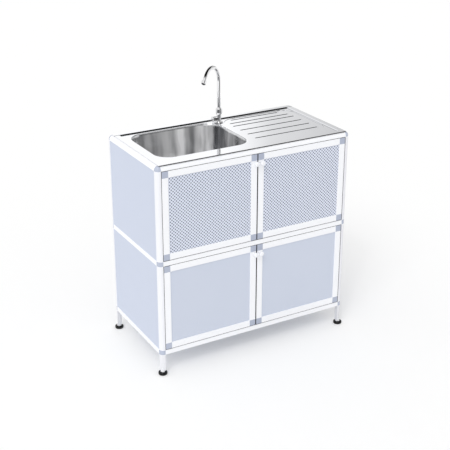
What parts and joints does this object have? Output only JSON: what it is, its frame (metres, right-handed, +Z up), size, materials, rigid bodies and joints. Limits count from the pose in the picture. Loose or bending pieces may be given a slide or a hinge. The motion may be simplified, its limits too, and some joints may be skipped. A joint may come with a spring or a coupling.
{
  "type": "kitchen sink unit",
  "caption": "Free-standing kitchen sink unit: stainless bowl and drainer top, swan-neck tap and framed doors on a white profile frame.",
  "frame": {"origin": "on the floor under the middle of the unit's outline, knobs and feet included", "axes": "+X to the right seen from the doors, +Y from the doors to the back, +Z up"},
  "size_m": [0.918, 0.4989, 1.175],
  "materials": {
    "white_profile": "white powder coat on extruded profile",
    "connector_plastic": "blue-grey moulded plastic",
    "panel_sheet": "pale blue-grey satin coated sheet",
    "perforated_sheet": "pale blue-grey satin sheet, perforated in the real unit",
    "knob_plastic": "white gloss",
    "black_plastic": "black gloss",
    "bush_plastic": "white nylon",
    "stainless": "polished pressed stainless steel",
    "chrome": "bright chrome",
    "brass": "turned brass",
    "zinc_steel": "zinc-plated steel",
    "trap_plastic": "white moulded plastic",
    "seal_rubber": "black rubber"
  },
  "bodies": {
    "cabinet": {"posts": "white_profile", "legs": "white_profile", "side_rails": "white_profile", "back_rails": "white_profile", "front_rails": "white_profile", "top_connectors": "connector_plastic", "rail_connectors": "connector_plastic", "side_panels": "panel_sheet", "back_panels": "panel_sheet", "shelf": "panel_sheet", "floor_panel": "panel_sheet", "feet": "black_plastic", "pivot_bushes": "bush_plastic", "door_catches": "bush_plastic", "sink_top": "stainless", "sink_seal": "seal_rubber", "sink_clips": "zinc_steel", "clip_bolts": "zinc_steel", "waste_body": "stainless", "waste_nut": "trap_plastic", "overflow_rosette": "stainless", "overflow_pipe": "trap_plastic", "trap_head": "trap_plastic", "trap_cup": "trap_plastic", "trap_nuts": "trap_plastic", "outlet_pipe": "trap_plastic", "tap_washer": "seal_rubber", "tap_body": "chrome", "tap_back_nut": "brass", "spout_nut": "chrome"},
    "upper_left_door": {"upper_left_door_frame": "white_profile", "upper_left_door_corners": "connector_plastic", "upper_left_door_panel": "perforated_sheet", "upper_left_door_knob": "knob_plastic", "upper_left_door_pivots": "zinc_steel", "upper_left_door_strike": "zinc_steel"},
    "upper_right_door": {"upper_right_door_frame": "white_profile", "upper_right_door_corners": "connector_plastic", "upper_right_door_panel": "perforated_sheet", "upper_right_door_knob": "knob_plastic", "upper_right_door_pivots": "zinc_steel", "upper_right_door_strike": "zinc_steel"},
    "lower_left_door": {"lower_left_door_frame": "white_profile", "lower_left_door_corners": "connector_plastic", "lower_left_door_panel": "panel_sheet", "lower_left_door_knob": "knob_plastic", "lower_left_door_pivots": "zinc_steel", "lower_left_door_strike": "zinc_steel"},
    "lower_right_door": {"lower_right_door_frame": "white_profile", "lower_right_door_corners": "connector_plastic", "lower_right_door_panel": "panel_sheet", "lower_right_door_knob": "knob_plastic", "lower_right_door_pivots": "zinc_steel", "lower_right_door_strike": "zinc_steel"},
    "spout": {"spout": "chrome", "aerator": "chrome"},
    "handle": {"tap_handle": "chrome", "valve_spindle": "brass"},
    "strainer": {"basket_strainer": "stainless"}
  },
  "joints": [
    {"name": "upper_left_door_hinge", "type": "hinge", "parent": "cabinet", "child": "upper_left_door", "pos_m": [-0.419, -0.2185, 0.7015], "axis": [0, 0, -1], "range_deg": [0, 110]},
    {"name": "upper_right_door_hinge", "type": "hinge", "parent": "cabinet", "child": "upper_right_door", "pos_m": [0.419, -0.2185, 0.7015], "axis": [0, 0, 1], "range_deg": [0, 110]},
    {"name": "lower_left_door_hinge", "type": "hinge", "parent": "cabinet", "child": "lower_left_door", "pos_m": [-0.419, -0.2185, 0.3025], "axis": [0, 0, -1], "range_deg": [0, 110]},
    {"name": "lower_right_door_hinge", "type": "hinge", "parent": "cabinet", "child": "lower_right_door", "pos_m": [0.419, -0.2185, 0.3025], "axis": [0, 0, 1], "range_deg": [0, 110]},
    {"name": "spout_swivel", "type": "hinge", "parent": "cabinet", "child": "spout", "pos_m": [0.03697, 0.16244, 0.95], "axis": [0, 0, 1], "continuous": true},
    {"name": "handle_turn", "type": "hinge", "parent": "cabinet", "child": "handle", "pos_m": [0.02297, 0.16244, 0.927], "axis": [-1, 0, 0], "range_deg": [0, 90]},
    {"name": "strainer_lift", "type": "slide", "parent": "cabinet", "child": "strainer", "axis": [0, 0, 1], "range_m": [0, 0.05]}
  ]
}
